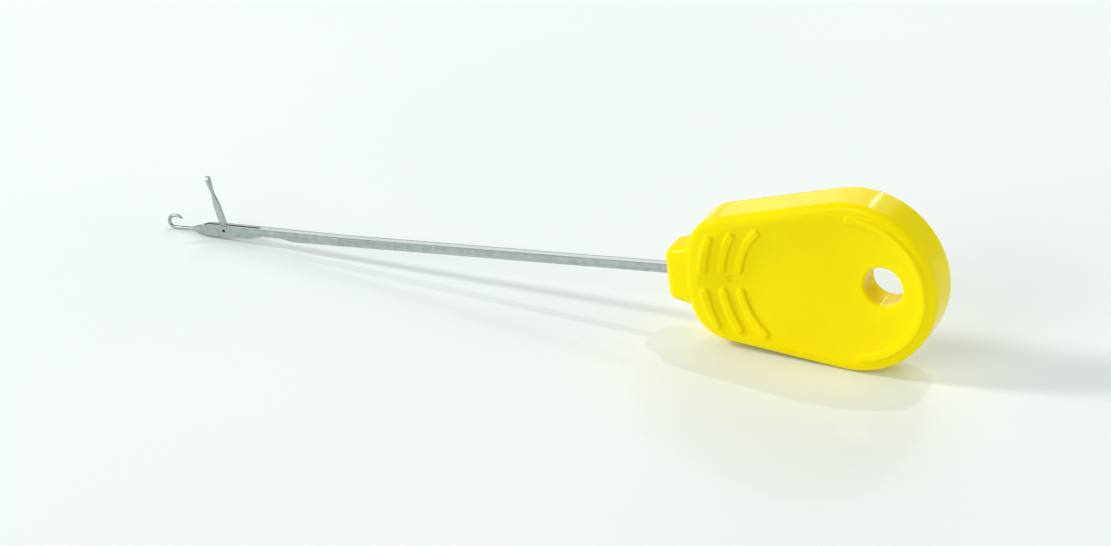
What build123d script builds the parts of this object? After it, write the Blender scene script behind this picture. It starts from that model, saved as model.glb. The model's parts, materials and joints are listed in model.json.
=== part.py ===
"""Latch-hook threading needle: a flat steel latch needle moulded into a short plastic thumb handle.

Handle and needle each have an axis, and the two meet at a slight bend at the handle's front end. Along
either, u runs from that point (0) toward the handle's rear, so the needle lies at negative u. v is the
height over the axis, and w the thickness, away from the front face. The tool stands on its long edge as
it is put down on a table: +X toward the handle's rear, front face toward -Y, the rear arc of the handle
and the belly of the hook both touching Z = 0.
"""

import os
from math import asin, atan2, cos, degrees, hypot, radians, sin, sqrt, tan

from build123d import *

# Handle (mm)
HANDLE_LENGTH = 45.0
NOSE_LENGTH = 3.5
REAR_RADIUS = 14.2
SIDE_TAPER = 10.7           # degrees, each side
FRONT_SAGITTA = 1.8         # bulge of the body's front wall
CORNER_RADIUS = 7.2
RIM_THICKNESS = 8.1
EDGE_ROUND = 1.2
REAR_CENTRE = HANDLE_LENGTH - REAR_RADIUS

# Nose, where the needle leaves the handle
NOSE_FRONT = (8.5, 6.6)     # height, thickness
NOSE_ROOT = (10.6, 7.7)
NOSE_CORNER = 1.9
NOSE_END_ROUND = 1.6

# Thumb dish, the same on both faces
DISH_DEPTH = 1.5
DISH_REAR_RADIUS = 12.4
DISH_FRONT_RADIUS = 9.6
DISH_FRONT_CENTRE = 15.3

# Lanyard hole
HOLE_RADIUS = 3.3
HOLE_CENTRE = 36.0
HOLE_ROUND = 0.45

# Raised grip: three rows of curved ribs and one half-ring bead
RIB_CENTRE = 23.2
RIB_RADII = (16.6, 13.75, 11.05)
RIB_ENDS = (7.2, 7.8, 8.4)  # v where each row stops
RIB_GAP = 1.9               # v where each row starts
RIB_DROP = 0.25             # the rows' common centre lies below the axis
RIB_WIDTH = 1.2
RIB_HEIGHT = 0.55           # over the face, in the dish and on the rim alike
BEAD_CENTRE = 31.4
BEAD_RADIUS = 11.5
BEAD_HALF_ANGLE = 89.0
PIN_MARK_CENTRE = 10.9      # dimple left by the pin that held the tang in the mould
PIN_MARK_RADIUS = 0.85
PIN_MARK_W = 3.3            # where the pin's ball end stopped, from the mid plane

# Needle
SHANK_HEIGHT = 1.38
STOCK = 1.42                # thickness of the flat blank
TANG_END = 27.0
TANG_NOTCHES = (12.0, 20.0)
TANG_NOTCH_RADIUS = 0.35
SHANK_TOP_FRONT = -56.0     # where the top edge starts to rise toward the cheeks
THROAT_END = -82.6
THROAT_ROOT = 0.16          # half-height and half-thickness of the blank where the wire swallows it
CHEEK_FRONT = -79.6
CHEEK_TOP = 1.12
CHEEK_TOP_FRONT = 1.09
CHEEK_BELLY = (-80.4, -0.72)
CHEEK_HEEL = (-72.4, -0.66)
STEM_BOTTOM = -0.18         # underside of the hollow behind the cheeks
STEM_FRONT = -69.7
STEM_REAR = -67.6
SHANK_BOTTOM_FRONT = -64.2
STEM_SLOPE = 0.02           # fall of the belly as it enters the hollow
STEM_EASE = 0.9
WIRE_RADIUS = 0.28
HOOK_CENTRE = (-85.42, 1.03)
HOOK_BEND_RADIUS = 1.0
WIRE_V = HOOK_CENTRE[1] - HOOK_BEND_RADIUS
WIRE_START = THROAT_END + 1.4   # the wire's root, inside the cheeks
HOOK_TIP = (-84.6, 1.94)
HOOK_POINT_LENGTH = 0.6
HOOK_POINT_RADIUS = 0.1
POINT_SETBACK = 0.1         # the point's root lies this far back in the wire, and this much inside its skin
POINT_INSET = 0.01

# Latch, its pivot and its slot
PIVOT = (-76.7, 0.3)
PIVOT_RADIUS = 0.25
PIVOT_CLEARANCE = 0.03
PIVOT_RECESS = 0.08         # pin ends below the cheek faces
LATCH_STANDS = 76.0         # degrees from the needle's forward axis, as modelled
LATCH_LENGTH = 9.3
LATCH_PARALLEL = 3.8        # length of the full-width part, from the pivot
LATCH_NECK = 6.5
LATCH_WIDTH = 1.1
LATCH_NECK_WIDTH = 0.38
LATCH_NECK_SLOPE = 0.05
LATCH_TONGUE = 0.5          # the neck's pointed end, buried in the spoon
LATCH_THICKNESS = 0.42
SPOON_OVERLAP = 0.2         # the spoon starts this far before the neck's end
SPOON_WIDTH = 1.2
SPOON_THICKNESS = 0.40
CUP_LENGTH = 2.0            # hollow in the spoon, on the side toward the hook
CUP_WIDTH = 0.86
CUP_THICKNESS = 0.56
CUP_RISE = 0.25             # the cup ball's centre, off the latch's mid line
CUP_MARGIN = 0.16           # rim left at the spoon's end
SLOT_WIDTH = 0.50
SLOT_CENTRE = -75.8
SLOT_FLOOR = -0.4
SLOT_SAW_RADIUS = 11.0

# Slopes, in radians, that put the rear arc and the hook's belly on one floor line
BEND = radians(1.1)         # the handle's axis is steeper than the needle's
HOOK_REACH = HOOK_BEND_RADIUS + WIRE_RADIUS
REACH = (REAR_CENTRE * cos(BEND) - HOOK_CENTRE[0], REAR_CENTRE * sin(BEND) - HOOK_CENTRE[1])
SLOPE = asin((REAR_RADIUS - HOOK_REACH) / hypot(*REACH)) - atan2(REACH[1], REACH[0])
HANDLE_SLOPE = SLOPE + BEND
X_REAR = REAR_CENTRE * cos(HANDLE_SLOPE) + REAR_RADIUS
X_HOOK = HOOK_CENTRE[0] * cos(SLOPE) - HOOK_CENTRE[1] * sin(SLOPE) - HOOK_REACH
ORIGIN = (-(X_REAR + X_HOOK) / 2, 0, REAR_RADIUS - REAR_CENTRE * sin(HANDLE_SLOPE))

# Sketch planes: side planes hold (u, v) and face the viewer, plan planes hold (u, w)
SIDE = Plane(origin=ORIGIN, x_dir=(cos(SLOPE), 0, sin(SLOPE)), z_dir=(0, -1, 0))
PLAN = Plane(origin=ORIGIN, x_dir=SIDE.x_dir, z_dir=SIDE.y_dir)
HANDLE_SIDE = Plane(origin=ORIGIN, x_dir=(cos(HANDLE_SLOPE), 0, sin(HANDLE_SLOPE)), z_dir=(0, -1, 0))
HANDLE_PLAN = Plane(origin=ORIGIN, x_dir=HANDLE_SIDE.x_dir, z_dir=HANDLE_SIDE.y_dir)


def across(side, u):
    """Plane square to a side plane's axis at u, its x along the thickness."""
    return Plane(origin=side.from_local_coords((u, 0, 0)), x_dir=(0, 1, 0), z_dir=side.x_dir)


def turned(point, angle):
    """Needle's side plane moved to a point and turned by an angle in degrees."""
    along = SIDE.x_dir * cos(radians(angle)) + SIDE.y_dir * sin(radians(angle))
    return Plane(origin=SIDE.from_local_coords((*point, 0)), x_dir=along, z_dir=SIDE.z_dir)


def dish_cutter(depth):
    """Two spherical hollows blended by the cone that touches both, for the front face."""
    surface = -RIM_THICKNESS / 2
    floor = surface + depth
    # The hollow's radii are set by the full depth, so that a shallower cutter is the same shape raised.
    rear_ball = (DISH_REAR_RADIUS**2 + DISH_DEPTH**2) / (2 * DISH_DEPTH)
    front_ball = (DISH_FRONT_RADIUS**2 + DISH_DEPTH**2) / (2 * DISH_DEPTH)
    rear = (REAR_CENTRE, floor - rear_ball)
    front = (DISH_FRONT_CENTRE, floor - front_ball)
    axis_angle = degrees(atan2(rear[1] - front[1], rear[0] - front[0]))
    with BuildPart() as cutter:
        with BuildSketch(HANDLE_PLAN):
            with BuildLine():
                rear_arc = CenterArc(rear, rear_ball, axis_angle, 90 - axis_angle)
                bottom = Line(rear_arc @ 1, (front[0], floor))
                front_arc = CenterArc(front, front_ball, 90, 90 + axis_angle)
                Line(front_arc @ 1, rear_arc @ 0)
            make_face()
        start = HANDLE_PLAN.from_local_coords((*front, 0))
        end = HANDLE_PLAN.from_local_coords((*rear, 0))
        revolve(axis=Axis(start, end - start))
    return cutter.part


def edge_loop(part, surface):
    """Edges of a solid that lie in the front or back surface plane."""
    on_surface = HANDLE_SIDE.offset(surface)
    heights = [(e, [on_surface.to_local_coords(e @ t).Z for t in (0, 0.5, 1)]) for e in part.edges()]
    return [e for e, samples in heights if max(map(abs, samples)) < 1e-4]


def hole_rims(part):
    """The two edges where the lanyard hole meets the dishes."""
    axis_point = HANDLE_SIDE.from_local_coords((HOLE_CENTRE, 0, 0))
    rims = []
    for edge in part.edges():
        arms = [edge @ t - axis_point for t in (0.1, 0.4, 0.7)]
        on_wall = all(abs(sqrt(arm.X**2 + arm.Z**2) - HOLE_RADIUS) < 1e-3 for arm in arms)
        if on_wall and edge.is_closed:
            rims.append(edge)
    return rims


def side_line(u):
    """Half-width of the body at u, on its straight tapered side."""
    touch = REAR_CENTRE - REAR_RADIUS * sin(radians(SIDE_TAPER))
    return REAR_RADIUS * cos(radians(SIDE_TAPER)) - (touch - u) * tan(radians(SIDE_TAPER))


def body_outline():
    """Rear arc, two tapered sides and a slightly bulged front wall with round corners."""
    corner_u = NOSE_LENGTH + FRONT_SAGITTA
    corner = (corner_u, side_line(corner_u))
    with BuildSketch(HANDLE_SIDE) as outline:
        with BuildLine():
            rear = CenterArc((REAR_CENTRE, 0), REAR_RADIUS, -90 - SIDE_TAPER, 180 + 2 * SIDE_TAPER)
            Line(rear @ 1, corner)
            front = ThreePointArc(corner, (NOSE_LENGTH, 0), (corner_u, -corner[1]))
            Line(front @ 1, rear @ 0)
        make_face()
        fillet(outline.vertices().sort_by(Axis.X)[:2], CORNER_RADIUS)
    return outline.sketch


def rib_row(radius, end):
    """One row: an upper and a lower rib on the same arc, open across the axis."""
    first = degrees(asin(RIB_GAP / radius))
    last = degrees(asin(end / radius))
    centre = (RIB_CENTRE, -RIB_DROP)
    arcs = [CenterArc(centre, radius, start, last - first) for start in (180 - last, 180 + first)]
    with BuildSketch(HANDLE_SIDE) as row:
        for arc in arcs:
            SlotArc(arc, RIB_WIDTH)
    return row.sketch


def bead():
    """Half ring round the rear of the dish."""
    arc = CenterArc((BEAD_CENTRE, 0), BEAD_RADIUS, -BEAD_HALF_ANGLE, 2 * BEAD_HALF_ANGLE)
    with BuildSketch(HANDLE_SIDE) as ring:
        SlotArc(arc, RIB_WIDTH)
    return ring.sketch


def nose():
    """Tapered block between the needle and the body, its front corners rounded over."""
    with BuildPart() as block:
        with BuildSketch(across(HANDLE_SIDE, 0)):
            RectangleRounded(NOSE_FRONT[1], NOSE_FRONT[0], NOSE_CORNER)
        with BuildSketch(across(HANDLE_SIDE, NOSE_LENGTH + EDGE_ROUND)):
            RectangleRounded(NOSE_ROOT[1], NOSE_ROOT[0], NOSE_CORNER)
        loft()
        front = block.faces().sort_by(Axis(ORIGIN, HANDLE_SIDE.x_dir))[0]
        fillet(front.edges(), NOSE_END_ROUND)
    return block.part


def grip():
    """Ribs and bead for the front face, standing one height off the dish and off the rim."""
    top = RIM_THICKNESS / 2 + RIB_HEIGHT
    with BuildPart() as raised:
        for radius, end in zip(RIB_RADII, RIB_ENDS):
            extrude(rib_row(radius, end), amount=top)
        extrude(bead(), amount=top)
        add(dish_cutter(DISH_DEPTH - RIB_HEIGHT), mode=Mode.SUBTRACT)
    return raised.part


def blank_outline():
    """Flat needle blank: belly, cheeks, hollowed stem, straight shank and notched tang."""
    half = SHANK_HEIGHT / 2
    with BuildSketch(SIDE) as outline:
        with BuildLine():
            top = Polyline(
                (TANG_END, half),
                (SHANK_TOP_FRONT, half),
                (PIVOT[0], CHEEK_TOP),
                (CHEEK_FRONT, CHEEK_TOP_FRONT),
                (THROAT_END, WIRE_V + THROAT_ROOT),
                (THROAT_END, WIRE_V - THROAT_ROOT),
                CHEEK_BELLY,
                CHEEK_HEEL,
            )
            into_stem = Spline(
                top @ 1,
                (STEM_FRONT, STEM_BOTTOM),
                tangents=((1, STEM_SLOPE), (1, 0)),
                tangent_scalars=(STEM_EASE, STEM_EASE),
            )
            stem = Line(into_stem @ 1, (STEM_REAR, STEM_BOTTOM))
            out_of_stem = Spline(stem @ 1, (SHANK_BOTTOM_FRONT, -half), tangents=((1, 0), (1, 0)))
            Polyline(out_of_stem @ 1, (TANG_END, -half), (TANG_END, half))
        make_face()
        with Locations([(u, side * half) for u in TANG_NOTCHES for side in (-1, 1)]):
            Circle(TANG_NOTCH_RADIUS, mode=Mode.SUBTRACT)
    return outline.sketch


def hook():
    """Round wire: straight throat, half-turn bend, then a short droop to the drawn-down point."""
    droop_start = (HOOK_CENTRE[0], HOOK_CENTRE[1] + HOOK_BEND_RADIUS)
    with BuildPart() as wire:
        with BuildLine(SIDE) as path:
            Line((WIRE_START, WIRE_V), (HOOK_CENTRE[0], WIRE_V))
            CenterArc(HOOK_CENTRE, HOOK_BEND_RADIUS, -90, -180)
            TangentArc(droop_start, HOOK_TIP, tangent=(1, 0))
        with BuildSketch(across(SIDE, WIRE_START)):
            with Locations((0, WIRE_V)):
                Circle(WIRE_RADIUS)
        sweep(path=path.wire())
        heading = path.wire() % 1
        point = turned(HOOK_TIP, degrees(atan2(heading.Z, heading.X) - SLOPE))
        with BuildSketch(point):
            with BuildLine():
                Polyline(
                    (-POINT_SETBACK, 0),
                    (-POINT_SETBACK, WIRE_RADIUS - POINT_INSET),
                    (HOOK_POINT_LENGTH, HOOK_POINT_RADIUS),
                    (HOOK_POINT_LENGTH, 0),
                    (-POINT_SETBACK, 0),
                )
            make_face()
        revolve(axis=Axis(point.origin, point.x_dir))
    return wire.part


def slot_cutter():
    """Saw cut in the top of the cheeks: its curved floor runs out before the hook and over the stem."""
    with BuildPart() as saw:
        with BuildSketch(SIDE):
            with Locations((SLOT_CENTRE, SLOT_FLOOR + SLOT_SAW_RADIUS)):
                Circle(SLOT_SAW_RADIUS)
        extrude(amount=SLOT_WIDTH / 2, both=True)
    return saw.part


def cheek_taper():
    """Wedges that thin the cheeks down to the wire, seen from above."""
    front = THROAT_END - THROAT_ROOT
    with BuildPart() as wedges:
        with BuildSketch(PLAN):
            for side in (-1, 1):
                with BuildLine():
                    Polyline(
                        (front, side * THROAT_ROOT),
                        (CHEEK_FRONT, side * STOCK / 2),
                        (CHEEK_FRONT, side * STOCK),
                        (front, side * STOCK),
                        (front, side * THROAT_ROOT),
                    )
                make_face()
        extrude(amount=STOCK * 2, both=True)
    return wedges.part


def pivot_pin(radius, length):
    """Cylinder on the latch's pivot axis, centred in the thickness."""
    with BuildPart() as pin:
        with BuildSketch(SIDE):
            with Locations(PIVOT):
                Circle(radius)
        extrude(amount=length / 2, both=True)
    return pin.part


with BuildPart() as needle:
    extrude(blank_outline(), amount=STOCK / 2, both=True)
    add(cheek_taper(), mode=Mode.SUBTRACT)
    add(hook())
    add(slot_cutter(), mode=Mode.SUBTRACT)
    add(pivot_pin(PIVOT_RADIUS, STOCK), mode=Mode.SUBTRACT)

with BuildPart() as latch_rivet:
    add(pivot_pin(PIVOT_RADIUS, STOCK - 2 * PIVOT_RECESS))

LATCH_PLANE = turned(PIVOT, 180 - LATCH_STANDS)
LATCH_PLAN = Plane(origin=LATCH_PLANE.origin, x_dir=LATCH_PLANE.x_dir, z_dir=LATCH_PLANE.y_dir)


def blade_outline():
    """Latch blade: round heel on the pivot, parallel sides, then a neck that runs into the spoon."""
    half_base = LATCH_WIDTH / 2
    half_neck = LATCH_NECK_WIDTH / 2
    tongue_end = LATCH_NECK + LATCH_TONGUE
    with BuildSketch(LATCH_PLANE) as outline:
        with BuildLine():
            heel = ThreePointArc((0, -half_base), (-half_base, 0), (0, half_base))
            side = Line(heel @ 1, (LATCH_PARALLEL, half_base))
            waist = Spline(side @ 1, (LATCH_NECK, half_neck), tangents=((1, 0), (1, -LATCH_NECK_SLOPE)))
            end = Polyline(waist @ 1, (tongue_end, half_neck / 2), (tongue_end, -half_neck / 2))
            root = Line(end @ 1, (LATCH_NECK, -half_neck))
            back = Spline(root @ 1, (LATCH_PARALLEL, -half_base), tangents=((-1, -LATCH_NECK_SLOPE), (-1, 0)))
            Line(back @ 1, heel @ 0)
        make_face()
    return outline.sketch


def spoon():
    """Paddle with a round end that widens from the neck, hollowed on the side toward the hook."""
    end_radius = SPOON_WIDTH / 2
    with BuildPart() as paddle:
        with BuildSketch(LATCH_PLAN):
            with Locations((LATCH_NECK - SPOON_OVERLAP, 0)):
                Circle(LATCH_THICKNESS / 2)
            with Locations((LATCH_LENGTH - end_radius, 0)):
                Circle(end_radius)
            make_hull()
        extrude(amount=SPOON_THICKNESS / 2, both=True)
        ball = Sphere(0.5, mode=Mode.PRIVATE)
        cup = scale(ball, by=(CUP_LENGTH, CUP_THICKNESS, CUP_WIDTH), mode=Mode.PRIVATE)
        cup_centre = LATCH_LENGTH - CUP_MARGIN - CUP_LENGTH / 2
        add(LATCH_PLANE * Pos(cup_centre, CUP_RISE, 0) * cup, mode=Mode.SUBTRACT)
    return paddle.part


with BuildPart() as latch:
    extrude(blade_outline(), amount=LATCH_THICKNESS / 2, both=True)
    add(spoon())
    add(pivot_pin(PIVOT_RADIUS + PIVOT_CLEARANCE, STOCK), mode=Mode.SUBTRACT)

with BuildPart() as handle:
    extrude(body_outline(), amount=RIM_THICKNESS / 2, both=True)
    for face_w in (RIM_THICKNESS / 2, -RIM_THICKNESS / 2):
        fillet(edge_loop(handle.part, face_w), EDGE_ROUND)
    add(nose())
    dish = dish_cutter(DISH_DEPTH)
    ribs = grip()
    for hollow in (dish, mirror(dish, about=HANDLE_SIDE, mode=Mode.PRIVATE)):
        add(hollow, mode=Mode.SUBTRACT)
    for raised in (ribs, mirror(ribs, about=HANDLE_SIDE, mode=Mode.PRIVATE)):
        add(raised)
    with BuildSketch(HANDLE_SIDE):
        with Locations((HOLE_CENTRE, 0)):
            Circle(HOLE_RADIUS)
    extrude(amount=RIM_THICKNESS, both=True, mode=Mode.SUBTRACT)
    fillet(hole_rims(handle.part), HOLE_ROUND)
    for mark_w in (-1, 1):
        with Locations(HANDLE_SIDE.from_local_coords((PIN_MARK_CENTRE, 0, mark_w * PIN_MARK_W))):
            Sphere(PIN_MARK_RADIUS, mode=Mode.SUBTRACT)
    add(needle.part, mode=Mode.SUBTRACT)

os.makedirs("parts", exist_ok=True)
for name, piece in (("handle", handle), ("needle", needle), ("latch", latch), ("latch_rivet", latch_rivet)):
    piece.part.label = name
    export_step(piece.part, f"parts/{name}.step")
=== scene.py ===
import json
import math

import bpy
from mathutils import Matrix, Vector


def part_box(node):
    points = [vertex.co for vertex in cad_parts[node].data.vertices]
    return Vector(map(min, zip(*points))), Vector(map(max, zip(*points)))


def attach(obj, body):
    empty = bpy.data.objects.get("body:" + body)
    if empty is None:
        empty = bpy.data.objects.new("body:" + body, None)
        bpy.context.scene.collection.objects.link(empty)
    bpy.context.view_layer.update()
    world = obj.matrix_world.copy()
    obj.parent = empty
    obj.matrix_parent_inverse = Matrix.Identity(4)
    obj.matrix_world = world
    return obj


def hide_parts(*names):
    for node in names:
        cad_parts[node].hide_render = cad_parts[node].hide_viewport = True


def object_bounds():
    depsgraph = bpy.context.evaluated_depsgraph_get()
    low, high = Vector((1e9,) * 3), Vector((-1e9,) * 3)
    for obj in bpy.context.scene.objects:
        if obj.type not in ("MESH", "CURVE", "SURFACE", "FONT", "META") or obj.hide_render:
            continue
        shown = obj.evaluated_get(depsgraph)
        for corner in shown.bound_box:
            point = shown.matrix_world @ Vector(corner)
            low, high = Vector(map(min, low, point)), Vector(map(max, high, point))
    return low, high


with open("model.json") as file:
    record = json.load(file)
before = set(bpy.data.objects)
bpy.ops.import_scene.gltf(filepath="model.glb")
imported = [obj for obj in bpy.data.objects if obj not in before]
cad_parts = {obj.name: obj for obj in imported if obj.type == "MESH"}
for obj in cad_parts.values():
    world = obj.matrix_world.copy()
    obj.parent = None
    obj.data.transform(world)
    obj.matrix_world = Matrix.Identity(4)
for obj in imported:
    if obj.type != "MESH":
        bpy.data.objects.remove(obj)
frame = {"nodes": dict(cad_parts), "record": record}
CAD_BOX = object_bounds()

MM = 0.001

# Places, from the frame
HANDLE_LO, HANDLE_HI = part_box("handle")
REAR_RADIUS = (HANDLE_HI.z - HANDLE_LO.z) / 2
REAR_CENTRE = Vector((HANDLE_HI.x - REAR_RADIUS, 0, REAR_RADIUS))
HALF_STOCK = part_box("needle")[1].y
HOOK_MOUNT = next(m for m in frame["record"]["mounts"] if m["name"] == "hook")
NEEDLE_AXIS = -Vector(HOOK_MOUNT["axis"])
TILT = math.atan2(NEEDLE_AXIS.z, NEEDLE_AXIS.x)
LATCH_TURN = math.radians(104) + TILT

# Handle surface
SOFTEN_GRID = 0.16 * MM
SOFTEN_PASSES = 4
YELLOW_DEEP = (0.97, 0.76, 0.0)
YELLOW_LIGHT = (0.99, 0.80, 0.0)
SCUFF_STRETCH = (90, 400, 900)
SCUFF_SLANT = 0.5
GLOW_DEPTH = 1.2 * MM
GLOW_COLOUR = (1.0, 0.75, 0.05)

# Steel surfaces
GRAIN_STRETCH = (30, 2500, 2500)
STEEL_DARK = (0.34, 0.38, 0.37)
NEEDLE_LIGHT = (0.52, 0.56, 0.55)
LATCH_LIGHT = (0.56, 0.60, 0.59)
RIVET_DARK = (0.02, 0.02, 0.02)
RIVET_LIGHT = (0.06, 0.06, 0.06)
STEEL_ROUGHNESS = 0.3
RIVET_ROUGHNESS = 0.5
# Painted shade: a dark colour for a band along the needle blank's long top and bottom edges
EDGE_SHADE_COLOUR = (0.05, 0.06, 0.06, 1)
EDGE_SHADE_BAND = 0.2 * MM

# Table and room
FLOOR_HALF = 1.2
FLOOR_DARK = (0.86, 0.91, 0.89)
FLOOR_LIGHT = (0.89, 0.93, 0.915)
ROOM_COLOUR = (0.95, 1.0, 0.99, 1)
ROOM_STRENGTH = 0.385

# Camera, whose aim is ahead of the handle's rear arc centre and a little above it
AZIMUTH = math.radians(21.0)
ELEVATION = math.radians(26.0)
ROLL = math.radians(1.42)
DISTANCE = 1.238
AIM_AHEAD = 46.75 * MM
AIM_ABOVE = 0.9 * MM
SENSOR_WIDTH = 36.0
LENS = 259.2


# ---- material helpers ----
def feed(tree, socket, value):
    """Link a socket to another's output, or set it to a constant."""
    if isinstance(value, bpy.types.NodeSocket):
        tree.links.new(value, socket)
    else:
        socket.default_value = value


class Nodes:
    """A material's node tree, with short ways to add and link nodes."""

    def __init__(self, name):
        self.material = bpy.data.materials.new(name)
        self.material.use_nodes = True
        self.tree = self.material.node_tree
        self.shader = self.tree.nodes["Principled BSDF"]

    def add(self, kind, inputs=None, **settings):
        node = self.tree.nodes.new(kind)
        for key, value in settings.items():
            setattr(node, key, value)
        for key, value in (inputs or {}).items():
            feed(self.tree, node.inputs[key], value)
        return node

    def place(self, scale=(1, 1, 1), turn=0.0):
        """Object coordinates, turned about Y and stretched."""
        coordinates = self.add("ShaderNodeTexCoord").outputs["Object"]
        inputs = {"Vector": coordinates, "Angle": turn}
        turned = self.add("ShaderNodeVectorRotate", inputs, rotation_type="Y_AXIS").outputs["Vector"]
        return self.add("ShaderNodeMapping", {"Vector": turned, "Scale": scale}).outputs["Vector"]

    def noise(self, place, scale, detail=3.0, roughness=0.55):
        inputs = {"Vector": place, "Scale": scale, "Detail": detail, "Roughness": roughness}
        return self.add("ShaderNodeTexNoise", inputs).outputs["Fac"]

    def ramp(self, factor, *stops):
        """Colour between two stops, each a position and a colour."""
        node = self.add("ShaderNodeValToRGB", {"Fac": factor})
        for element, (position, colour) in zip(node.color_ramp.elements, stops):
            element.position = position
            element.color = (*colour, 1)
        return node.outputs["Color"]

    def span(self, factor, low, high, start, end):
        """The factor's range from start to end, mapped to low and high."""
        inputs = {"Value": factor, "From Min": start, "From Max": end, "To Min": low, "To Max": high}
        return self.add("ShaderNodeMapRange", inputs).outputs["Result"]

    def calc(self, operation, *values):
        inputs = dict(enumerate(values))
        return self.add("ShaderNodeMath", inputs, operation=operation).outputs["Value"]

    def across(self, vector):
        """A vector's size along Y, without its sign."""
        part = self.add("ShaderNodeSeparateXYZ", {"Vector": vector}).outputs["Y"]
        return self.calc("ABSOLUTE", part)

    def bump(self, height, distance, strength, normal=None):
        inputs = {"Height": height, "Distance": distance, "Strength": strength}
        if normal is not None:
            inputs["Normal"] = normal
        return self.add("ShaderNodeBump", inputs).outputs["Normal"]

    def mix(self, factor, first, second):
        node = self.add("ShaderNodeMix", data_type="RGBA")
        factor_socket, first_socket, second_socket = (node.inputs[i] for i in (0, 6, 7))
        feed(self.tree, factor_socket, factor)
        feed(self.tree, first_socket, first)
        feed(self.tree, second_socket, second)
        return node.outputs[2]

    def painted_edge_shade(self, half_stock):
        """1 along the long edges of a blank's top and bottom, within a band of either side face, where
        painted shade darkens the steel.
        """
        distance = self.across(self.add("ShaderNodeTexCoord").outputs["Object"])
        edge = self.span(distance, 0.0, 1.0, half_stock - EDGE_SHADE_BAND, half_stock - EDGE_SHADE_BAND / 2)
        sideways = self.across(self.add("ShaderNodeNewGeometry").outputs["Normal"])
        level = self.span(sideways, 1.0, 0.0, 0.4, 0.6)
        return self.calc("MULTIPLY", edge, level)

    def set(self, **sockets):
        for key, value in sockets.items():
            feed(self.tree, self.shader.inputs[key.replace("_", " ")], value)
        return self.material


def yellow_plastic():
    """Glossy moulded yellow: faint flow clouds, a soft orange peel and a few handling scuffs."""
    n = Nodes("yellow_plastic")
    place = n.place(turn=TILT)
    clouds = n.noise(place, 55.0, detail=4.0)
    peel = n.noise(place, 900.0, detail=2.0)
    ripple = n.noise(place, 120.0, detail=1.0)
    scuffs = n.noise(n.place(SCUFF_STRETCH, TILT + SCUFF_SLANT), 3.0, detail=5.0, roughness=0.7)
    return n.set(
        Base_Color=n.ramp(clouds, (0.3, YELLOW_DEEP), (0.7, YELLOW_LIGHT)),
        Roughness=n.span(scuffs, 0.10, 0.2, 0.45, 0.75),
        Normal=n.bump(peel, 0.01 * MM, 0.5, n.bump(ripple, 0.06 * MM, 0.5)),
        IOR=1.45,
        Specular_IOR_Level=0.1,
        Subsurface_Weight=0.3,
        Subsurface_Radius=GLOW_COLOUR,
        Subsurface_Scale=GLOW_DEPTH,
    )


def steel(name, dark, light, rough, turn, half_stock=None):
    """Nickel-plated steel: drawn grain along the piece, mottled plating and, on a blank, painted shade as
    dark bands along the long edges.
    """
    n = Nodes(name)
    lines = n.noise(n.place(GRAIN_STRETCH, turn), 1.0, detail=4.0, roughness=0.6)
    mottle = n.noise(n.place(turn=turn), 900.0, detail=4.0)
    mixed = n.calc("ADD", lines, mottle)
    colour = n.ramp(n.span(mixed, 0.0, 1.0, 0.7, 1.3), (0.0, dark), (1.0, light))
    if half_stock:
        # Painted shade darkens the long edges of the blank's top and bottom faces
        colour = n.mix(n.painted_edge_shade(half_stock), colour, EDGE_SHADE_COLOUR)
    return n.set(
        Base_Color=colour,
        Metallic=1.0,
        Roughness=n.span(mixed, rough - 0.08, rough + 0.12, 0.7, 1.3),
        Normal=n.bump(lines, 0.012 * MM, 0.6, n.bump(mottle, 0.01 * MM, 0.4)),
    )


def floor_material():
    """Pale, slightly cool tabletop."""
    n = Nodes("pale_table")
    tone = n.noise(n.place(), 6.0, detail=2.0)
    fine = n.noise(n.place(), 400.0, detail=3.0)
    return n.set(
        Base_Color=n.ramp(tone, (0.3, FLOOR_DARK), (0.7, FLOOR_LIGHT)),
        Roughness=0.6,
        Normal=n.bump(fine, 0.02 * MM, 0.3),
    )


# ---- pieces ----
def softened_copy(node, name):
    """A node's mesh rebuilt on a fine grid and relaxed, so that moulded edges and ribs are rounded."""
    piece = bpy.data.objects.new(name, frame["nodes"][node].data.copy())
    bpy.context.scene.collection.objects.link(piece)
    remesh = piece.modifiers.new("remesh", "REMESH")
    remesh.mode = "VOXEL"
    remesh.voxel_size = SOFTEN_GRID
    relax = piece.modifiers.new("relax", "SMOOTH")
    relax.factor = 0.5
    relax.iterations = SOFTEN_PASSES
    evaluated = piece.evaluated_get(bpy.context.evaluated_depsgraph_get())
    mesh = bpy.data.meshes.new_from_object(evaluated)
    piece.modifiers.clear()
    piece.data = mesh
    mesh.polygons.foreach_set("use_smooth", [True] * len(mesh.polygons))
    return piece


def dress(obj, material):
    obj.data.materials.clear()
    obj.data.materials.append(material)


def make_handle():
    handle = softened_copy("handle", "moulded_handle")
    dress(handle, yellow_plastic())
    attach(handle, "handle_and_needle")
    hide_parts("handle")


def dress_steel():
    needle = steel("plated_steel", STEEL_DARK, NEEDLE_LIGHT, STEEL_ROUGHNESS, TILT, HALF_STOCK)
    latch = steel("latch_steel", STEEL_DARK, LATCH_LIGHT, STEEL_ROUGHNESS, LATCH_TURN)
    rivet = steel("rivet_steel", RIVET_DARK, RIVET_LIGHT, RIVET_ROUGHNESS, 0.0)
    dress(frame["nodes"]["needle"], needle)
    dress(frame["nodes"]["latch"], latch)
    dress(frame["nodes"]["latch_rivet"], rivet)


# ---- stage, light and camera ----
def make_floor():
    mesh = bpy.data.meshes.new("floor")
    corners = [(x * FLOOR_HALF, y * FLOOR_HALF, 0) for x, y in ((-1, -1), (1, -1), (1, 1), (-1, 1))]
    mesh.from_pydata(corners, [], [(0, 1, 2, 3)])
    floor = bpy.data.objects.new("floor", mesh)
    bpy.context.scene.collection.objects.link(floor)
    dress(floor, floor_material())


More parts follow.
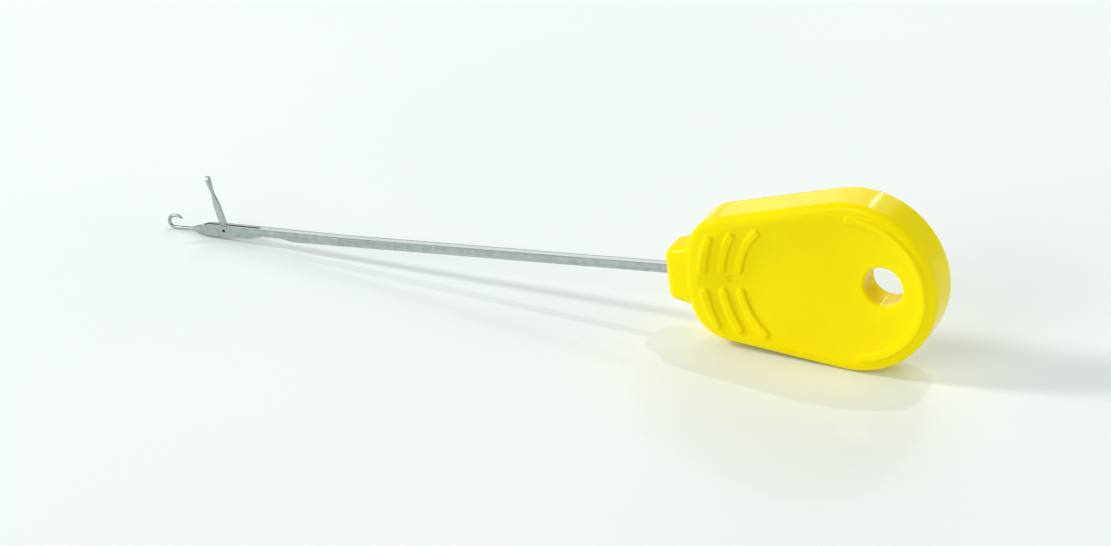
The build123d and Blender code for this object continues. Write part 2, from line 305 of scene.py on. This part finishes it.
def area_light(name, toward, distance, size, power):
    """Round lamp that stands off the tool's middle in a direction and faces it."""
    middle = (CAD_BOX[0] + CAD_BOX[1]) / 2
    direction = Vector(toward).normalized()
    data = bpy.data.lights.new(name, "AREA")
    data.shape = "DISK"
    data.size = size
    data.energy = power
    lamp = bpy.data.objects.new(name, data)
    lamp.location = middle + direction * distance
    lamp.rotation_mode = "QUATERNION"
    lamp.rotation_quaternion = direction.to_track_quat("Z", "Y")
    bpy.context.scene.collection.objects.link(lamp)


def make_light():
    """A lamp on the left, two small ones behind, a pale wall behind, fills and pale room light."""
    area_light("left_lamp", (-1.4, -0.5, 1.0), distance=1.2, size=0.24, power=6.6)
    area_light("rear_spot", (0.1, 0.45, 1.0), distance=0.9, size=0.025, power=0.8)
    area_light("streak", (-0.06, 0.84, 0.54), distance=0.9, size=0.012, power=0.30)
    area_light("back_wall", (-0.2, 0.85, 0.42), distance=0.9, size=0.75, power=1.8)
    area_light("front_fill", (-0.35, -1.0, 0.5), distance=1.2, size=0.7, power=4.2)
    area_light("right_fill", (1.0, 0.1, 0.35), distance=0.9, size=0.5, power=1.6)
    world = bpy.data.worlds.new("studio")
    world.use_nodes = True
    background = world.node_tree.nodes["Background"]
    background.inputs["Color"].default_value = ROOM_COLOUR
    background.inputs["Strength"].default_value = ROOM_STRENGTH
    bpy.context.scene.world = world
    bpy.context.scene.view_settings.view_transform = "Standard"


def make_camera():
    """Long lens from the right front and above, rolled a little, aimed at the shank near the handle."""
    flat_back = Vector((math.sin(AZIMUTH), -math.cos(AZIMUTH), 0))
    back = flat_back * math.cos(ELEVATION) + Vector((0, 0, math.sin(ELEVATION)))
    level = Vector((math.cos(AZIMUTH), math.sin(AZIMUTH), 0))
    level_up = back.cross(level)
    right = level * math.cos(ROLL) + level_up * math.sin(ROLL)
    up = level_up * math.cos(ROLL) - level * math.sin(ROLL)
    place = REAR_CENTRE - right * AIM_AHEAD + up * AIM_ABOVE + back * DISTANCE
    data = bpy.data.cameras.new("camera")
    data.sensor_width = SENSOR_WIDTH
    data.lens = LENS
    data.clip_end = 10.0
    camera = bpy.data.objects.new("camera", data)
    axes = Matrix((right, up, back)).transposed().to_4x4()
    camera.matrix_world = Matrix.Translation(place) @ axes
    bpy.context.scene.collection.objects.link(camera)
    bpy.context.scene.camera = camera


make_handle()
dress_steel()
make_floor()
make_light()
make_camera()
